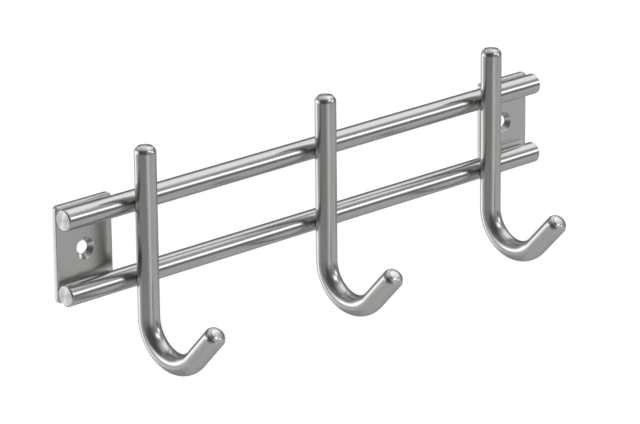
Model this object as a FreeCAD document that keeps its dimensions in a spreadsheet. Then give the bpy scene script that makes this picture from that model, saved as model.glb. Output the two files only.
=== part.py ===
# Coat hook rail of round stainless bar.
# Two long rods lie across two flat wall plates, and three bent hooks cross in front of the rods.
# Frame: X along the rods, Y into the wall, Z up. The wall is the plane Y = 0.
# The origin is on the wall, midway between the two screw holes.

import FreeCAD, Part
import Sketcher
import math
import os

# Every driving size, in millimetres and degrees
drivingSizes = {
    # The two rods, one above the other, as far above the origin as below it
    "rod_length": 300.0,
    "rod_diameter": 10.0,
    "rod_spacing": 35.0,
    "rod_end_chamfer": 0.5,
    # The two wall plates, flush with the ends of the rods and with their outer sides
    "plate_width": 32.0,
    "plate_thickness": 2.5,
    "plate_corner_radius": 2.0,
    "plate_edge_chamfer": 0.4,
    # The countersunk screw hole in the middle of each plate
    "screw_hole_diameter": 6.0,
    "countersink_diameter": 10.4,
    "countersink_angle": 90.0,
    # The three hooks: one halfway along the rail, the others set in from the ends of the rods
    "hook_diameter": 10.0,
    "hook_inset": 40.0,
    "hook_rise": 27.5,
    "hook_drop": 17.0,
    "bend_radius": 18.0,
    "bend_angle": 137.0,
    "tip_length": 21.0,
    # The blunt crown on both ends of a hook: a bevel, softened where it meets the bar
    "hook_end_bevel": 1.6,
    "hook_end_softening": 0.8,
    # The weld seats: how deep a rod sits in a hook, and how deep a rod is flattened on a plate
    "hook_seat_depth": 0.4,
    "rod_flat_depth": 0.25,
}

# Places that follow from the driving sizes, each written once for all the pieces that use it
rodDepth = "sizes.plate_thickness + sizes.rod_diameter / 2 - sizes.rod_flat_depth"
hookToRod = "(sizes.rod_diameter + sizes.hook_diameter) / 2 - sizes.hook_seat_depth"
stemLength = "sizes.hook_rise + sizes.rod_spacing + sizes.hook_drop"
plateHeight = "sizes.rod_spacing + sizes.rod_diameter"
plateCentre = "(sizes.rod_length - sizes.plate_width) / 2"
hookTop = "sizes.rod_spacing / 2 + sizes.hook_rise"
hookPitch = "sizes.rod_length / 2 - sizes.hook_inset"

# A cutting shape stands this far out of the metal
cutMargin = 2.0
# Two lengths that differ by less are the same
sameLength = 1e-4

# How a sketch's constraints name the points of a line or an arc, and the sketch's own origin
startPoint, endPoint, centrePoint = range(1, 4)
origin = (-1, startPoint)

doc = FreeCAD.newDocument("coat_hook_rail")


def makeSheet():
    sheet = doc.addObject("Spreadsheet::Sheet", "sizes")
    for row, (name, value) in enumerate(drivingSizes.items(), start=1):
        sheet.set("A%d" % row, name)
        sheet.set("B%d" % row, str(value))
        sheet.setAlias("B%d" % row, name)
    doc.recompute()
    return sheet


def vector(x, y, z=0.0):
    return FreeCAD.Vector(x, y, z)


def newBody(label, across="0", depth="0", height="0"):
    """An empty body, placed by expressions for its X, Y and Z."""
    body = doc.addObject("PartDesign::Body", label)
    body.Label = label
    body.setExpression("Placement.Base.x", across)
    body.setExpression("Placement.Base.y", depth)
    body.setExpression("Placement.Base.z", height)
    return body


def newSketch(body, name, plane):
    sketch = body.newObject("Sketcher::SketchObject", body.Label + "_" + name)
    support = [p for p in body.Origin.OriginFeatures if p.Role == plane][0]
    sketch.AttachmentSupport = [(support, "")]
    sketch.MapMode = "FlatFace"
    return sketch


def newFeature(body, kind, name, sketch=None):
    feature = body.newObject("PartDesign::" + kind, body.Label + "_" + name)
    if sketch is not None:
        feature.Profile = sketch
    return feature


def fix(sketch, *constraint):
    sketch.addConstraint(Sketcher.Constraint(*constraint))


def drive(sketch, expression, *constraint):
    index = sketch.addConstraint(Sketcher.Constraint(*constraint))
    sketch.setExpression("Constraints[%d]" % index, expression)


def addCircle(sketch, diameter, centre, driver, across=None, up=None):
    """A circle whose diameter, and whose centre if it isn't the origin, follow the sheet."""
    circle = sketch.addGeometry(Part.Circle(vector(*centre), vector(0, 0, 1), diameter / 2), False)
    drive(sketch, driver, "Diameter", circle, diameter)
    if across is None:
        fix(sketch, "Coincident", circle, centrePoint, *origin)
        return
    drive(sketch, across, "DistanceX", *origin, circle, centrePoint, centre[0])
    drive(sketch, up, "DistanceY", *origin, circle, centrePoint, centre[1])


def addRectangle(sketch, low, high, lowDrivers, highDrivers):
    """A rectangle whose low and high corners follow the sheet."""
    corners = [low, (high[0], low[1]), high, (low[0], high[1])]
    sides = []
    for index in range(4):
        side = Part.LineSegment(vector(*corners[index]), vector(*corners[(index + 1) % 4]))
        sides.append(sketch.addGeometry(side, False))
    for index in range(4):
        fix(sketch, "Coincident", sides[index], endPoint, sides[(index + 1) % 4], startPoint)
        fix(sketch, "Horizontal" if index % 2 == 0 else "Vertical", sides[index])
    for side, corner, drivers in ((sides[0], low, lowDrivers), (sides[2], high, highDrivers)):
        drive(sketch, drivers[0], "DistanceX", *origin, side, startPoint, corner[0])
        drive(sketch, drivers[1], "DistanceY", *origin, side, startPoint, corner[1])


def pickEdges(base, wanted):
    """The edges of the base feature that the test picks."""
    doc.recompute()
    return (base, ["Edge%d" % n for n, edge in enumerate(base.Shape.Edges, start=1) if wanted(edge)])


def roundEdges(body, name, base, wanted, driver):
    """Rounds the edges that the test picks."""
    fillet = newFeature(body, "Fillet", name)
    fillet.Base = pickEdges(base, wanted)
    fillet.setExpression("Radius", driver)
    return fillet


def bevelEdges(body, name, base, wanted, driver):
    """Bevels the edges that the test picks, by the same distance on both sides."""
    chamfer = newFeature(body, "Chamfer", name)
    chamfer.Base = pickEdges(base, wanted)
    chamfer.setExpression("Size", driver)
    return chamfer


def same(first, second):
    return abs(first - second) < sameLength


def isFlatAt(edge, axis, place):
    """True where the whole edge lies in the plane that crosses the axis at the place."""
    low = getattr(edge.BoundBox, axis + "Min")
    high = getattr(edge.BoundBox, axis + "Max")
    return same(low, place) and same(high, place)


# The wall plate: a rounded rectangle, bevelled round its front, with a countersunk hole
def makePlate(label, side):
    body = newBody(label, across="%d * (%s)" % (side, plateCentre))
    width = sizes.plate_width
    height = sizes.rod_spacing + sizes.rod_diameter
    outline = newSketch(body, "outline", "XZ_Plane")
    addRectangle(outline, (-width / 2, -height / 2), (width / 2, height / 2),
                 ("-sizes.plate_width / 2", "-(%s) / 2" % plateHeight),
                 ("sizes.plate_width / 2", "(%s) / 2" % plateHeight))
    sheetMetal = newFeature(body, "Pad", "sheet", outline)
    sheetMetal.setExpression("Length", "sizes.plate_thickness")
    corners = roundEdges(body, "corners", sheetMetal, isAcrossSheet, "sizes.plate_corner_radius")
    bevelEdges(body, "edges", corners, isOnPlateFront, "sizes.plate_edge_chamfer")
    doc.recompute()

    # The hole is drilled from the front face, so its sketch stands off the wall
    mark = newSketch(body, "hole_mark", "XZ_Plane")
    mark.setExpression("AttachmentOffset.Base.z", "sizes.plate_thickness")
    addCircle(mark, sizes.screw_hole_diameter, (0.0, 0.0), "sizes.screw_hole_diameter")
    doc.recompute()
    hole = newFeature(body, "Hole", "screw_hole", mark)
    doc.recompute()
    hole.DepthType = "ThroughAll"
    hole.HoleCutType = "Countersink"
    hole.HoleCutCustomValues = True
    hole.setExpression("Diameter", "sizes.screw_hole_diameter")
    hole.setExpression("HoleCutDiameter", "sizes.countersink_diameter")
    hole.setExpression("HoleCutCountersinkAngle", "sizes.countersink_angle")
    return body


def isAcrossSheet(edge):
    return same(edge.BoundBox.YLength, sizes.plate_thickness)


def isOnPlateFront(edge):
    return isFlatAt(edge, "Y", -sizes.plate_thickness)


# The long rod: a round bar with bevelled ends, flattened where it is welded to the plates
def makeRod(label, side):
    body = newBody(label, depth="-(%s)" % rodDepth, height="%d * sizes.rod_spacing / 2" % side)
    radius = sizes.rod_diameter / 2
    halfLength = sizes.rod_length / 2
    section = newSketch(body, "section", "YZ_Plane")
    addCircle(section, sizes.rod_diameter, (0.0, 0.0), "sizes.rod_diameter")
    bar = newFeature(body, "Pad", "bar", section)
    bar.SideType = "Symmetric"
    bar.setExpression("Length", "sizes.rod_length")

    def isBarEnd(edge):
        return isFlatAt(edge, "X", halfLength) or isFlatAt(edge, "X", -halfLength)

    bevelEdges(body, "ends", bar, isBarEnd, "sizes.rod_end_chamfer")

    flats = newSketch(body, "weld_flats", "XY_Plane")
    inner = halfLength - sizes.plate_width
    innerDriver = "sizes.rod_length / 2 - sizes.plate_width"
    outer = halfLength + cutMargin
    outerDriver = "sizes.rod_length / 2 + %g" % cutMargin
    flat = radius - sizes.rod_flat_depth
    flatDriver = "sizes.rod_diameter / 2 - sizes.rod_flat_depth"
    behind = radius + cutMargin
    behindDriver = "sizes.rod_diameter / 2 + %g" % cutMargin
    addRectangle(flats, (inner, flat), (outer, behind),
                 (innerDriver, flatDriver), (outerDriver, behindDriver))
    addRectangle(flats, (-outer, flat), (-inner, behind),
                 ("-(%s)" % outerDriver, flatDriver), ("-(%s)" % innerDriver, behindDriver))
    cut = newFeature(body, "Pocket", "flattening", flats)
    cut.SideType = "Symmetric"
    cut.setExpression("Length", "sizes.rod_diameter + %g" % cutMargin)
    return body


# The hook: one bar swept down a straight stem, round the bend and up to the tip.
# Its own origin is the middle of its top end. Two round seats in its back take the rods.
def makeHook(label, step):
    body = newBody(label, across="%d * (%s)" % (step, hookPitch),
                   depth="-(%s) - (%s)" % (rodDepth, hookToRod), height=hookTop)
    stem = sizes.hook_rise + sizes.rod_spacing + sizes.hook_drop
    bend = sizes.bend_radius
    turn = math.radians(sizes.bend_angle)
    bendEnd = vector(-bend + bend * math.cos(turn), -stem - bend * math.sin(turn))
    tipEnd = bendEnd + vector(-math.sin(turn), -math.cos(turn)) * sizes.tip_length

    route = newSketch(body, "route", "YZ_Plane")
    stemLine = route.addGeometry(Part.LineSegment(vector(0, 0), vector(0, -stem)), False)
    circle = Part.Circle(vector(-bend, -stem), vector(0, 0, 1), bend)
    bendArc = route.addGeometry(Part.ArcOfCircle(circle, -turn, 0.0), False)
    tipLine = route.addGeometry(Part.LineSegment(bendEnd, tipEnd), False)
    fix(route, "Coincident", stemLine, startPoint, *origin)
    fix(route, "Vertical", stemLine)
    fix(route, "Tangent", stemLine, endPoint, bendArc, endPoint)
    fix(route, "Tangent", tipLine, startPoint, bendArc, startPoint)
    drive(route, stemLength, "Distance", stemLine, stem)
    drive(route, "sizes.bend_radius", "Radius", bendArc, bend)
    drive(route, "sizes.bend_angle", "Angle", bendArc, turn)
    drive(route, "sizes.tip_length", "Distance", tipLine, sizes.tip_length)

    section = newSketch(body, "section", "XY_Plane")
    addCircle(section, sizes.hook_diameter, (0.0, 0.0), "sizes.hook_diameter")
    bar = newFeature(body, "AdditivePipe", "bar", section)
    bar.Spine = (route, ["Edge1", "Edge2", "Edge3"])

    # Each end is named by its middle and by the way that it points
    ends = ((vector(0, 0, 0), vector(0, 0, 1)),
            (vector(0, tipEnd.x, tipEnd.y), vector(0, -math.sin(turn), -math.cos(turn))))

    def isRim(edge, distance):
        """True for a rim that lies this far back from an end."""
        return any(all(same((middle - point.Point).dot(way), distance) for point in edge.Vertexes)
                   for middle, way in ends)

    crowned = bevelEdges(body, "crowns", bar, lambda edge: isRim(edge, 0.0), "sizes.hook_end_bevel")
    bevelEdges(body, "softening", crowned, lambda edge: isRim(edge, sizes.hook_end_bevel),
               "sizes.hook_end_softening")

    seats = newSketch(body, "weld_seats", "YZ_Plane")
    behind = (sizes.rod_diameter + sizes.hook_diameter) / 2 - sizes.hook_seat_depth
    addCircle(seats, sizes.rod_diameter, (behind, -sizes.hook_rise), "sizes.rod_diameter",
              hookToRod, "-sizes.hook_rise")
    addCircle(seats, sizes.rod_diameter, (behind, -sizes.hook_rise - sizes.rod_spacing),
              "sizes.rod_diameter", hookToRod, "-sizes.hook_rise - sizes.rod_spacing")
    cut = newFeature(body, "Pocket", "seating", seats)
    cut.SideType = "Symmetric"
    cut.setExpression("Length", "sizes.hook_diameter + %g" % cutMargin)
    return body


def checkedShape(body):
    shape = body.Shape
    if shape.isNull() or not shape.isValid() or len(shape.Solids) != 1:
        raise RuntimeError(body.Label + " isn't one sound solid")
    return shape


sizes = makeSheet()
pieces = [
    makePlate("left_plate", -1),
    makePlate("right_plate", 1),
    makeRod("upper_rod", 1),
    makeRod("lower_rod", -1),
    makeHook("hook_left", -1),
    makeHook("hook_middle", 0),
    makeHook("hook_right", 1),
]
doc.recompute()

for thing in doc.Objects:
    if "Invalid" in thing.State or "Error" in thing.State:
        raise RuntimeError(thing.Label + " failed: " + ", ".join(thing.State))

os.makedirs("parts", exist_ok=True)
for piece in pieces:
    shape = checkedShape(piece)
    box = shape.optimalBoundingBox(True)
    shape.exportStep("parts/%s.step" % piece.Label)
    print("%-12s volume %9.1f mm3, X %.2f to %.2f, Y %.2f to %.2f, Z %.2f to %.2f"
          % (piece.Label, shape.Volume, box.XMin, box.XMax, box.YMin, box.YMax, box.ZMin, box.ZMax))
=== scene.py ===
import bpy
import math
from mathutils import Matrix, Vector


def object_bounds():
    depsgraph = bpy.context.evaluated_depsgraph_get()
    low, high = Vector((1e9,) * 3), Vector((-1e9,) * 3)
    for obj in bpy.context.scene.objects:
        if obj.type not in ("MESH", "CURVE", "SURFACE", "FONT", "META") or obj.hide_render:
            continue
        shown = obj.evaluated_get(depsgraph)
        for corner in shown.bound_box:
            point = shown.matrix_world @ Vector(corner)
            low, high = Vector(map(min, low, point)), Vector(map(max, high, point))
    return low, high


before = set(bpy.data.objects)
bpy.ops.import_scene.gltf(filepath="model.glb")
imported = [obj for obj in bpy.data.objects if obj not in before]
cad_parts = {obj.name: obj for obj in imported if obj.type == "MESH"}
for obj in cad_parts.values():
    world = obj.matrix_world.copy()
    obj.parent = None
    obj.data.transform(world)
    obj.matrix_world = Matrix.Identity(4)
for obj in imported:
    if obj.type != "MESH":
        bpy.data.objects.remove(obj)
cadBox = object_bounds()
print("frame loaded:", ", ".join(sorted(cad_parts)))

# Metres, in the frame of the rail: X along the rods, Y into the wall, Z up


def nodeBox(name):
    # The lowest and the highest corner of a CAD node
    corners = list(zip(*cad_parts[name].bound_box))
    return Vector([min(places) for places in corners]), Vector([max(places) for places in corners])


cameraView = {
    "azimuth": -43.56,
    "elevation": 18.31,
    "roll": -0.52,
    "target": (0.01194, 0.0, -0.01810),
    "distance": 1.74253,
    "focalPixels": 3708.56,
    "photoWidth": 640,
    "sensorWidth": 36.0,
    "clip": (0.05, 200.0),
}


def makeCamera():
    azimuth = math.radians(cameraView["azimuth"])
    elevation = math.radians(cameraView["elevation"])
    roll = math.radians(cameraView["roll"])
    back = Vector((math.sin(azimuth) * math.cos(elevation),
                   -math.cos(azimuth) * math.cos(elevation),
                   math.sin(elevation)))
    level = Vector((math.cos(azimuth), math.sin(azimuth), 0.0))
    upright = back.cross(level)
    right = level * math.cos(roll) + upright * math.sin(roll)
    up = upright * math.cos(roll) - level * math.sin(roll)
    data = bpy.data.cameras.new("photoCamera")
    data.sensor_width = cameraView["sensorWidth"]
    data.lens = cameraView["focalPixels"] * cameraView["sensorWidth"] / cameraView["photoWidth"]
    data.clip_start, data.clip_end = cameraView["clip"]
    camera = bpy.data.objects.new("photoCamera", data)
    place = Matrix((right, up, back)).transposed().to_4x4()
    place.translation = Vector(cameraView["target"]) + back * cameraView["distance"]
    camera.matrix_world = place
    bpy.context.scene.collection.objects.link(camera)
    bpy.context.scene.camera = camera
    print("camera at", tuple(round(c, 3) for c in place.translation))


makeCamera()


# Short ways to write node trees
def addNode(tree, kind, **values):
    node = tree.nodes.new(kind)
    for name, value in values.items():
        setattr(node, name, value)
    return node


def feed(tree, socket, source):
    # The source is another node's socket or a plain value
    if isinstance(source, bpy.types.NodeSocket):
        tree.links.new(source, socket)
    else:
        socket.default_value = source


def maths(tree, operation, *sources):
    node = addNode(tree, "ShaderNodeMath", operation=operation)
    for socket, source in zip(node.inputs, sources):
        feed(tree, socket, source)
    return node.outputs[0]


def plus(tree, first, second):
    return maths(tree, "ADD", first, second)


def minus(tree, first, second):
    return maths(tree, "SUBTRACT", first, second)


def times(tree, first, second):
    return maths(tree, "MULTIPLY", first, second)


def over(tree, first, second):
    return maths(tree, "DIVIDE", first, second)


def above(tree, first, second):
    return maths(tree, "GREATER_THAN", first, second)


def below(tree, first, second):
    return maths(tree, "LESS_THAN", first, second)


def absolute(tree, value):
    return maths(tree, "ABSOLUTE", value)


def weigh(tree, share, first, second):
    # The first by its share and the second by the rest
    return plus(tree, times(tree, first, share), times(tree, second, 1.0 - share))


def measure(tree, operation, *vectors):
    # The length of one vector or the dot product of two
    node = addNode(tree, "ShaderNodeVectorMath", operation=operation)
    for socket, vector in zip(node.inputs, vectors):
        feed(tree, socket, vector)
    return node.outputs["Value"]


def fade(tree, value, start, end, low=0.0, high=1.0):
    # Goes smoothly from low to high as the value goes from start to end
    node = addNode(tree, "ShaderNodeMapRange", interpolation_type="SMOOTHSTEP")
    for name, source in (("Value", value), ("From Min", start), ("From Max", end),
                         ("To Min", low), ("To Max", high)):
        feed(tree, node.inputs[name], source)
    return node.outputs["Result"]


def blend(tree, factor, first, second, kind="FLOAT"):
    node = addNode(tree, "ShaderNodeMix", data_type=kind)
    sockets = [s for s in node.inputs if s.enabled]
    for socket, source in zip(sockets, (factor, first, second)):
        feed(tree, socket, source)
    return [s for s in node.outputs if s.enabled][0]


def splitVector(tree, vector):
    node = addNode(tree, "ShaderNodeSeparateXYZ")
    feed(tree, node.inputs[0], vector)
    return node.outputs


def joinVector(tree, x, y, z):
    node = addNode(tree, "ShaderNodeCombineXYZ")
    for socket, source in zip(node.inputs, (x, y, z)):
        feed(tree, socket, source)
    return node.outputs[0]


def noise(tree, vector, scale, detail, roughness=0.55):
    node = addNode(tree, "ShaderNodeTexNoise")
    for name, source in (("Vector", vector), ("Scale", scale), ("Detail", detail),
                         ("Roughness", roughness)):
        feed(tree, node.inputs[name], source)
    return node.outputs[0]


def raised(tree, height, distance, normal, strength=1.0):
    # The normal with a height laid over it
    node = addNode(tree, "ShaderNodeBump")
    for name, source in (("Height", height), ("Distance", distance), ("Normal", normal),
                         ("Strength", strength)):
        feed(tree, node.inputs[name], source)
    return node.outputs[0]


def newGroup(name, inputs, outputs):
    # Each input comes with its first value: a number, or three of them for a vector
    tree = bpy.data.node_groups.new(name, "ShaderNodeTree")
    for socketName, value in inputs.items():
        kind = "NodeSocketVector" if isinstance(value, tuple) else "NodeSocketFloat"
        socket = tree.interface.new_socket(socketName, in_out="INPUT", socket_type=kind)
        socket.default_value = value
    for socketName in outputs:
        tree.interface.new_socket(socketName, in_out="OUTPUT", socket_type="NodeSocketFloat")
    given = addNode(tree, "NodeGroupInput").outputs
    result = addNode(tree, "NodeGroupOutput").inputs
    return tree, given, result


def useGroup(tree, group, values):
    node = addNode(tree, "ShaderNodeGroup", node_tree=group)
    for name, source in values.items():
        feed(tree, node.inputs[name], source)
    return node.outputs


# The studio round the rail: soft panels and dark cards, each given by the way it lies from the rail.
# Place is a card's azimuth and elevation in degrees, where azimuth 0 is straight out from the wall
# and 90 is to the right. Half is half its width and height. Lean turns its azimuth as it rises.
# Later cards lie in front of earlier ones.
studio = {
    "colour": (1.0, 1.0, 1.0, 1.0),
    "shown": 1.0,  # what the camera sees behind the rail
    "upperLevel": 0.52,
    "lowerLevel": 0.51,
    "horizonSoft": 4.0,
    "cards": {
        "wallBelow": {"place": (-172, -50), "half": (40, 14), "soft": 8, "level": 0.36},
        "sweepBehind": {"place": (180, -27), "half": (28, 11), "soft": 5, "level": 0.85},
        "rightRear": {"place": (112, -40), "half": (30, 42), "soft": 8, "level": 0.5},
        "rightFront": {"place": (54, 11), "half": (54, 21), "soft": 7, "level": 0.34},
        "cameraSide": {"place": (-76, 20), "half": (43, 44), "soft": 8, "level": 0.235},
        "frontDark": {"place": (-16, 34), "half": (24, 32), "soft": 7, "level": 0.2},
        "cameraDark": {"place": (-72, 22.5), "half": (40, 27.5), "soft": 9, "level": 0.09},
        "rearLeft": {"place": (-162, 31), "half": (32, 9), "soft": 5, "level": 0.25},
        "rightDark": {"place": (110, 4), "half": (18, 12), "soft": 5, "level": 0.11},
        "rearDark": {"place": (140, 12), "half": (22, 16), "soft": 6, "level": 0.2},
        "frontLine": {"place": (-11, -22), "half": (4, 12), "soft": 3, "level": 0.96},
        "rightGap": {"place": (43, -5.5), "half": (12, 7.5), "soft": 4, "level": 0.14},
        "ceilingGap": {"place": (52, 33.5), "half": (13, 6.5), "soft": 3, "level": 0.3},
        "plateGlow": {"place": (50, -16), "half": (6, 6), "soft": 2.5, "level": 0.6},
        "rightStrip": {"place": (43.6, 17), "half": (9, 6.5), "soft": 2.5, "level": 2.3},
        "frontPanel": {"place": (16, 38), "half": (23, 8), "soft": 4, "level": 1.9},
        "leftWash": {"place": (-141, 2), "half": (30, 11), "soft": 6, "level": 0.95},
        "leftLow": {"place": (-162, -15), "half": (10, 13), "soft": 4, "level": 1.8, "lean": -0.8},
        "leftPanel": {"place": (-142, 4.5), "half": (22, 7.5), "soft": 4, "level": 1.9},
    },
    # The ceiling panel, by how far it reaches right of the rail and behind it for each unit of
    # height, and how softly each side ends. It starts a little over the horizon.
    "ceiling": {
        "right": (0.1, 1.7), "rightSoft": (0.4, 0.6),
        "rear": (-0.38, 0.82), "rearSoft": (0.2, 0.14),
        "horizon": (0.02, 0.08), "level": 1.15,
    },
}


def makeCardGroup():
    tree, given, result = newGroup("studioCard", {
        "Azimuth": 0.0, "Elevation": 0.0, "Centre Azimuth": 0.0, "Centre Elevation": 0.0,
        "Half Width": 0.0, "Half Height": 0.0, "Softness": 0.0, "Lean": 0.0}, ["Mask"])
    soft = given["Softness"]
    rise = minus(tree, given["Elevation"], given["Centre Elevation"])
    turn = minus(tree, given["Azimuth"], given["Centre Azimuth"])
    turn = minus(tree, turn, times(tree, rise, given["Lean"]))
    turn = maths(tree, "WRAP", turn, 180.0, -180.0)
    masks = []
    for offset, half in ((turn, given["Half Width"]), (rise, given["Half Height"])):
        outer, inner = plus(tree, half, soft), minus(tree, half, soft)
        masks.append(fade(tree, absolute(tree, offset), outer, inner))
    feed(tree, result["Mask"], times(tree, *masks))
    return tree


def makeStudioLight():
    world = bpy.data.worlds.new("studioLight")
    bpy.context.scene.world = world
    world.use_nodes = True
    tree = world.node_tree
    tree.nodes.clear()
    way = addNode(tree, "ShaderNodeTexCoord").outputs["Generated"]
    across, depth, height = splitVector(tree, way)
    toDegrees = math.degrees(1.0)
    azimuth = times(tree, maths(tree, "ARCTAN2", across, times(tree, depth, -1.0)), toDegrees)
    elevation = times(tree, maths(tree, "ARCSINE", height), toDegrees)
    light = fade(tree, elevation, -studio["horizonSoft"], studio["horizonSoft"],
                 studio["lowerLevel"], studio["upperLevel"])

    cardGroup = makeCardGroup()
    for card in studio["cards"].values():
        mask = useGroup(tree, cardGroup, {
            "Azimuth": azimuth, "Elevation": elevation,
            "Centre Azimuth": card["place"][0], "Centre Elevation": card["place"][1],
            "Half Width": card["half"][0], "Half Height": card["half"][1],
            "Softness": card["soft"], "Lean": card.get("lean", 0.0)})["Mask"]
        light = blend(tree, mask, light, card["level"])

    ceiling = studio["ceiling"]
    horizonStart, horizonEnd = ceiling["horizon"]
    upward = maths(tree, "MAXIMUM", height, horizonStart)
    mask = fade(tree, height, horizonStart, horizonEnd)
    for value, side in ((across, "right"), (depth, "rear")):
        place = over(tree, value, upward)
        low, high = ceiling[side]
        lowSoft, highSoft = ceiling[side + "Soft"]
        mask = times(tree, mask, fade(tree, place, low - lowSoft, low + lowSoft))
        mask = times(tree, mask, fade(tree, place, high + highSoft, high - highSoft))
    light = blend(tree, mask, light, ceiling["level"])

    seen = addNode(tree, "ShaderNodeLightPath").outputs["Is Camera Ray"]
    background = addNode(tree, "ShaderNodeBackground")
    feed(tree, background.inputs["Color"], studio["colour"])
    feed(tree, background.inputs["Strength"], blend(tree, seen, light, studio["shown"]))
    output = addNode(tree, "ShaderNodeOutputWorld")
    feed(tree, output.inputs["Surface"], background.outputs[0])
    print("studio light with", len(studio["cards"]), "cards and a ceiling panel")


makeStudioLight()


floorPlan = {
    "size": 60.0,
    "drop": 0.45,  # under the lowest point of the rail
    "colour": (0.93, 0.93, 0.93, 1.0),
    "roughness": 0.9,
    "glowColour": (1.0, 1.0, 1.0, 1.0),
    "glow": 0.5,
}


def makeFloor():
    half = floorPlan["size"] / 2
    level = cadBox[0].z - floorPlan["drop"]
    mesh = bpy.data.meshes.new("floor")
    corners = [(-half, -half, level), (half, -half, level), (half, half, level), (-half, half, level)]
    mesh.from_pydata(corners, [], [(0, 1, 2, 3)])
    floor = bpy.data.objects.new("floor", mesh)
    bpy.context.scene.collection.objects.link(floor)
    floor.visible_glossy = False  # the steel mirrors the studio's cards instead
    material = bpy.data.materials.new("paleFloor")
    material.use_nodes = True
    tree = material.node_tree
    shader = tree.nodes["Principled BSDF"]
    for name, key in (("Base Color", "colour"), ("Roughness", "roughness"),
                      ("Emission Color", "glowColour"), ("Emission Strength", "glow")):
        feed(tree, shader.inputs[name], floorPlan[key])
    mesh.materials.append(material)
    print("floor at", round(level, 3))


makeFloor()


# Steel effects that the plates, the rods and the hooks share
steel = {
    "fineness": 3.2,  # how much finer the fine lines are
    "cloudScale": 60.0,
    "lineTone": 0.7,  # the lines' share of the colour, beside the clouds
    "toneRange": (0.3, 0.7),
    "lineHeight": 0.6,  # the lines' share of the height, beside the fine lines
    "roughRange": (0.25, 0.75),
    "edgeSamples": 14,
    "edgeLikeness": (0.995, 0.9),  # of the eased and the plain normal, where an edge starts and is full
    "wearScale": 400.0,
    "wearRange": (0.35, 0.6),
    "tolerance": 0.00005,
}


def makeDrawnGrain():
    # Fine lines along a bar or a sheet. Section is two directions across the lines and one along them.
    tree, given, result = newGroup("drawnGrain", {
        "Section": (0.0, 0.0, 0.0), "Line Width": 0.0006, "Line Length": 0.02},
        ["Lines", "Fine Lines", "Cloud"])
    across, through, along = splitVector(tree, given["Section"])
    for name, fineness, detail in (("Lines", 1.0, 3.0), ("Fine Lines", steel["fineness"], 4.0)):
        width = over(tree, fineness, given["Line Width"])
        length = over(tree, fineness, given["Line Length"])
        lines = joinVector(tree, times(tree, across, width), times(tree, through, width),
                           times(tree, along, length))
        feed(tree, result[name], noise(tree, lines, scale=1.0, detail=detail))
    cloud = noise(tree, given["Section"], scale=steel["cloudScale"], detail=2.0)
    feed(tree, result["Cloud"], cloud)
    return tree


def makeTurnedRings():
    # Tool marks round an axis, by the distance from it
    tree, given, result = newGroup("turnedRings", {"Radius": 0.0, "Ring Width": 0.0003}, ["Rings"])
    turns = over(tree, given["Radius"], given["Ring Width"])
    rings = noise(tree, joinVector(tree, turns, 0.0, 0.0), scale=1.0, detail=2.0)
    feed(tree, result["Rings"], rings)
    return tree


def makeEdgeWear():
    # Where edges are rubbed, broken up into patches
    tree, given, result = newGroup("edgeWear", {
        "Position": (0.0, 0.0, 0.0), "Edge": 0.0, "Amount": 1.0}, ["Wear"])
    patches = noise(tree, given["Position"], scale=steel["wearScale"], detail=3.0)
    broken = fade(tree, patches, *steel["wearRange"])
    worn = times(tree, times(tree, given["Edge"], broken), given["Amount"])
    feed(tree, result["Wear"], worn)
    return tree


drawnGrain = makeDrawnGrain()
turnedRings = makeTurnedRings()
edgeWear = makeEdgeWear()
print("steel effects:", ", ".join(group.name for group in (drawnGrain, turnedRings, edgeWear)))


def startMaterial(name):
    material = bpy.data.materials.new(name)
    material.use_nodes = True
    tree = material.node_tree
    shader = tree.nodes["Principled BSDF"]
    shader.inputs["Metallic"].default_value = 1.0
    position = addNode(tree, "ShaderNodeTexCoord").outputs["Object"]
    return material, tree, shader, position


def softEdge(tree, radius):
    # The normal with its edges eased, and a mask of where they are
    eased = addNode(tree, "ShaderNodeBevel", samples=steel["edgeSamples"])
    feed(tree, eased.inputs["Radius"], radius)
    plain = addNode(tree, "ShaderNodeNewGeometry").outputs["Normal"]
    likeness = measure(tree, "DOT_PRODUCT", eased.outputs[0], plain)
    return eased.outputs[0], fade(tree, likeness, *steel["edgeLikeness"])


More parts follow.
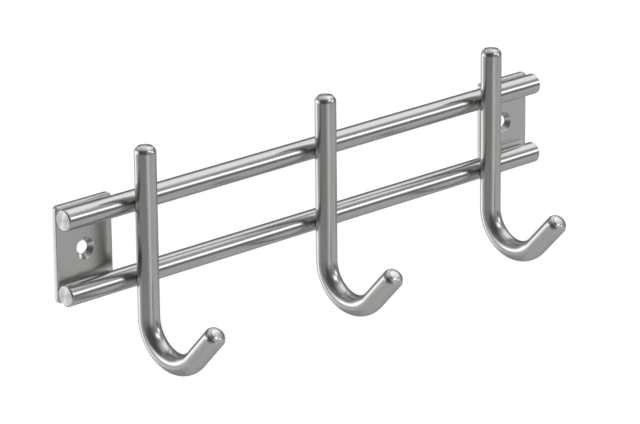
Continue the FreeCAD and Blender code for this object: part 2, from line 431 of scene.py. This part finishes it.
def finishSteel(tree, shader, look, surface):
    # Surface holds the position, the section for the lines, a mask of the turned ends and the way out
    # from their middle. It may hold a crown on the ends, a mask of cut sides and its own rounding.
    ends = surface["ends"]
    grain = useGroup(tree, drawnGrain, {
        "Section": surface["section"], "Line Width": look["lineWidth"],
        "Line Length": look["lineLength"]})
    tone = weigh(tree, steel["lineTone"], grain["Lines"], grain["Cloud"])
    tone = fade(tree, tone, *steel["toneRange"])
    colour = blend(tree, tone, look["darkSteel"], look["lightSteel"], "RGBA")
    rough = fade(tree, grain["Fine Lines"], *steel["roughRange"], *look["roughness"])
    height = weigh(tree, steel["lineHeight"], grain["Lines"], grain["Fine Lines"])

    spread = measure(tree, "LENGTH", surface["radial"])
    rings = useGroup(tree, turnedRings, {"Radius": spread})["Rings"]
    turned = maths(tree, "MULTIPLY_ADD", rings, look["ringRoughness"], look["turnedRoughness"])
    # The turned ends get a lighter colour: partly their own finish, partly a painted highlight
    colour = blend(tree, ends, colour, look["turnedSteelWithPaintedHighlight"], "RGBA")
    rough = blend(tree, ends, rough, turned)
    height = blend(tree, ends, height, times(tree, rings, look["ringHeight"]))

    # The cut sides get a near-white colour, which is a painted highlight, and more roughness
    if "cut" in surface:
        colour = blend(tree, surface["cut"], colour, look["cutSteelWithPaintedHighlight"], "RGBA")
        rough = blend(tree, surface["cut"], rough, look["cutRoughness"])

    normal, edge = softEdge(tree, surface.get("rounding", look["edgeRadius"]))
    wear = useGroup(tree, edgeWear, {
        "Position": surface["position"], "Edge": edge, "Amount": look["wear"]})["Wear"]
    colour = blend(tree, wear, colour, look["wornSteel"], "RGBA")
    rough = blend(tree, wear, rough, look["wornRoughness"])

    if "crown" in surface:
        crowned = raised(tree, surface["crown"], look["crownHeight"], normal)
        normal = blend(tree, ends, normal, crowned, "VECTOR")
    normal = raised(tree, height, look["lineDepth"], normal, look["bump"])

    # The turned ends throw light outwards, so their stretch lies along the radius
    stretch = times(tree, ends, look["turnedStretch"])
    for name, source in (("Base Color", colour), ("Roughness", rough), ("Normal", normal),
                         ("Anisotropic", stretch), ("Tangent", surface["radial"]),
                         ("Specular Tint", look["edgeTint"])):
        feed(tree, shader.inputs[name], source)


def dress(nodes, material):
    for name in nodes:
        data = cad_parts[name].data
        data.materials.clear()
        data.materials.append(material)
    print(material.name, "on", ", ".join(nodes))


rodLow, rodHigh = nodeBox("upper_rod")
rodMiddle = (rodLow + rodHigh) / 2

rods = {
    "nodes": ["upper_rod", "lower_rod"],
    "middleHeight": rodMiddle.z,  # the lower rod lies as far below the middle of the rail
    "middleDepth": rodMiddle.y,
    "halfLength": rodHigh.x,
    "look": {
        "darkSteel": (0.625, 0.625, 0.61, 1.0),
        "lightSteel": (0.675, 0.675, 0.665, 1.0),
        # the rod ends' colour is lighter partly as a painted highlight
        "turnedSteelWithPaintedHighlight": (0.92, 0.92, 0.91, 1.0),
        "wornSteel": (0.76, 0.76, 0.75, 1.0),
        "edgeTint": (0.7, 0.7, 0.7, 1.0),
        "roughness": (0.16, 0.24),
        "turnedRoughness": 0.26,
        "ringRoughness": 0.1,
        "ringHeight": 1.0,
        "turnedStretch": 1.0,
        "wornRoughness": 0.2,
        "lineWidth": 0.0007,
        "lineLength": 0.03,
        "lineDepth": 0.00001,
        "bump": 0.35,
        "edgeRadius": 0.0004,
        "wear": 0.5,
    },
}


def dressRods():
    material, tree, shader, position = startMaterial("drawnRodSteel")
    x, y, z = splitVector(tree, position)
    # Both rods share the material, so heights are taken from the nearer rod's middle
    rise = minus(tree, absolute(tree, z), rods["middleHeight"])
    rise = times(tree, rise, maths(tree, "SIGN", z))
    behind = minus(tree, y, rods["middleDepth"])
    finishSteel(tree, shader, rods["look"], {
        "position": position,
        "section": joinVector(tree, rise, behind, x),
        "ends": above(tree, absolute(tree, x), rods["halfLength"] - steel["tolerance"]),
        "radial": joinVector(tree, 0.0, behind, rise),
    })
    dress(rods["nodes"], material)


dressRods()


hooks = {
    "nodes": ["hook_left", "hook_middle", "hook_right"],
    "pitch": nodeBox("hook_right")[1].x - nodeBox("hook_middle")[1].x,
    "top": nodeBox("hook_middle")[1].z,
    "barRadius": 0.005,
    "weldSeat": 0.0004,  # how deep the rods sit in a hook's back
    "bendRadius": 0.018,
    "bendHeight": -0.0345,
    "bendAngle": 137.0,
    "tipLength": 0.021,
    "finishReach": 0.0007,  # how far the turned finish runs down from an end
    "crown": {
        "flatShare": 0.68,  # of the bar's radius, where the dome stops
        "domePower": 4.0,
        "domeDepth": 3.6,  # this, the lean and the facets are in units of crownHeight
        "topLean": 0.6,
        "facetScale": 150.0,
        "facetDepth": 0.5,
    },
    "look": {
        "darkSteel": (0.62, 0.62, 0.605, 1.0),
        "lightSteel": (0.675, 0.675, 0.665, 1.0),
        # the hook ends' colour is lighter partly as a painted highlight
        "turnedSteelWithPaintedHighlight": (0.84, 0.84, 0.83, 1.0),
        "wornSteel": (0.76, 0.76, 0.75, 1.0),
        "edgeTint": (0.7, 0.7, 0.7, 1.0),
        "roughness": (0.16, 0.24),
        "turnedRoughness": 0.16,
        "ringRoughness": 0.06,
        "ringHeight": 0.3,
        "turnedStretch": 1.0,
        "wornRoughness": 0.22,
        "lineWidth": 0.0006,
        "lineLength": 0.02,
        "lineDepth": 0.00001,
        "bump": 0.35,
        "edgeRadius": 0.0014,
        "crownHeight": 0.0011,
        "wear": 0.4,
    },
}


def followHook(tree, position):
    # A hook's middle line runs down the stem, round the bend and up the tip. Behind and rise are taken
    # from the bend's centre, and outward is taken from the middle line, away from that centre.
    x, y, z = splitVector(tree, position)
    half = hooks["pitch"] / 2
    radius = hooks["bendRadius"]
    turn = math.radians(hooks["bendAngle"])
    stemDepth = rods["middleDepth"] - 2 * hooks["barRadius"] + hooks["weldSeat"]
    across = maths(tree, "WRAP", x, half, -half)
    behind = minus(tree, y, stemDepth - radius)
    rise = minus(tree, z, hooks["bendHeight"])
    drop = times(tree, rise, -1.0)

    spoke = maths(tree, "SQRT", maths(tree, "MULTIPLY_ADD", behind, behind, times(tree, rise, rise)))
    outward = minus(tree, spoke, radius)
    along = times(tree, maths(tree, "ARCTAN2", drop, behind), radius)

    onStem = times(tree, above(tree, rise, 0.0), above(tree, behind, 0.0))
    stemOutward = minus(tree, behind, radius)
    outward = blend(tree, onStem, outward, stemOutward)
    along = blend(tree, onStem, along, drop)

    offset = joinVector(tree, 0.0, behind, rise)
    tipWay = Vector((0.0, -math.sin(turn), -math.cos(turn)))
    tipOut = Vector((0.0, math.cos(turn), -math.sin(turn)))
    pastBend = measure(tree, "DOT_PRODUCT", offset, tipWay)
    onTip = times(tree, above(tree, pastBend, 0.0), below(tree, behind, 0.0))
    tipOutward = minus(tree, measure(tree, "DOT_PRODUCT", offset, tipOut), radius)
    outward = blend(tree, onTip, outward, tipOutward)
    along = blend(tree, onTip, along, plus(tree, pastBend, radius * turn))

    # The turned ends: the top and the end of the tip
    onTop = above(tree, z, hooks["top"] - hooks["finishReach"])
    onTipEnd = times(tree, onTip, above(tree, pastBend, hooks["tipLength"] - hooks["finishReach"]))
    topRadial = joinVector(tree, across, stemOutward, 0.0)
    tipRadial = joinVector(tree, across, times(tree, tipOutward, tipOut.y),
                           times(tree, tipOutward, tipOut.z))
    return {
        "section": joinVector(tree, across, outward, along),
        "ends": maths(tree, "MAXIMUM", onTop, onTipEnd),
        "radial": blend(tree, onTip, topRadial, tipRadial, "VECTOR"),
        "stemOutward": stemOutward,
        "onTop": onTop,
    }


def crownEnds(tree, position, course):
    # A dome with a few ground facets on each end. The tops also lean a little to the front.
    crown = hooks["crown"]
    spread = over(tree, measure(tree, "LENGTH", course["radial"]), hooks["barRadius"])
    swell = maths(tree, "MINIMUM", spread, crown["flatShare"])
    dome = times(tree, maths(tree, "POWER", swell, crown["domePower"]), crown["domeDepth"])
    facets = noise(tree, position, scale=crown["facetScale"], detail=0.0)
    facets = times(tree, facets, crown["facetDepth"])
    lean = times(tree, over(tree, course["stemOutward"], hooks["barRadius"]),
                 times(tree, course["onTop"], crown["topLean"]))
    return minus(tree, plus(tree, facets, lean), dome)


def dressHooks():
    material, tree, shader, position = startMaterial("drawnHookSteel")
    course = followHook(tree, position)
    finishSteel(tree, shader, hooks["look"], {
        "position": position,
        "section": course["section"],
        "ends": course["ends"],
        "radial": course["radial"],
        "crown": crownEnds(tree, position, course),
    })
    dress(hooks["nodes"], material)


dressHooks()


plateLow, plateHigh = nodeBox("right_plate")

plates = {
    "nodes": ["left_plate", "right_plate"],
    "holePlace": (plateLow.x + plateHigh.x) / 2,
    "front": plateLow.y,
    "frontMargin": 0.00003,  # how far behind the front the countersink's finish starts
    "countersinkWidth": 0.0104,
    "sideGrain": 0.2,  # makes the lines wider on the sides
    "sideways": 0.8,  # how far a normal turns to the side on the cut sides
    "look": {
        "darkSteel": (0.635, 0.635, 0.62, 1.0),
        "lightSteel": (0.665, 0.665, 0.655, 1.0),
        # the countersink's colour is lighter partly as a painted highlight
        "turnedSteelWithPaintedHighlight": (0.72, 0.72, 0.71, 1.0),
        "wornSteel": (0.76, 0.76, 0.75, 1.0),
        # near-white on the cut sides: a painted highlight
        "cutSteelWithPaintedHighlight": (0.97, 0.97, 0.96, 1.0),
        "edgeTint": (1.0, 1.0, 1.0, 1.0),
        "roughness": (0.2, 0.25),
        "turnedRoughness": 0.08,
        "ringRoughness": 0.07,
        "ringHeight": 1.0,
        "turnedStretch": 1.0,
        "wornRoughness": 0.22,
        "cutRoughness": 0.5,
        "lineWidth": 0.0004,
        "lineLength": 0.03,
        "lineDepth": 0.000003,
        "bump": 0.35,
        "edgeRadius": 0.0003,
        "outerEdgeRadius": 0.0011,
        "wear": 0.6,
    },
}


def dressPlates():
    look = plates["look"]
    material, tree, shader, position = startMaterial("brushedPlateSteel")
    x, y, z = splitVector(tree, position)
    across = minus(tree, absolute(tree, x), plates["holePlace"])
    across = times(tree, across, maths(tree, "SIGN", x))
    radial = joinVector(tree, across, 0.0, z)
    spread = measure(tree, "LENGTH", radial)
    inHole = below(tree, spread, plates["countersinkWidth"] / 2 + steel["tolerance"])
    behindFront = above(tree, y, plates["front"] + plates["frontMargin"])

    # The cut sides are rougher and painted near-white as a painted highlight, and the outer edges are
    # rounder than the hole's rim
    normal = addNode(tree, "ShaderNodeNewGeometry").outputs["Normal"]
    sideways = above(tree, absolute(tree, splitVector(tree, normal)[0]), plates["sideways"])
    farOut = above(tree, spread, plates["countersinkWidth"])
    finishSteel(tree, shader, look, {
        "position": position,
        # Ground up and down, so the lines run along Z
        "section": joinVector(tree, x, times(tree, y, plates["sideGrain"]), z),
        "ends": times(tree, inHole, behindFront),
        "radial": radial,
        "cut": times(tree, farOut, sideways),
        "rounding": blend(tree, farOut, look["edgeRadius"], look["outerEdgeRadius"]),
    })
    dress(plates["nodes"], material)


dressPlates()

bpy.context.scene.view_settings.view_transform = "Standard"
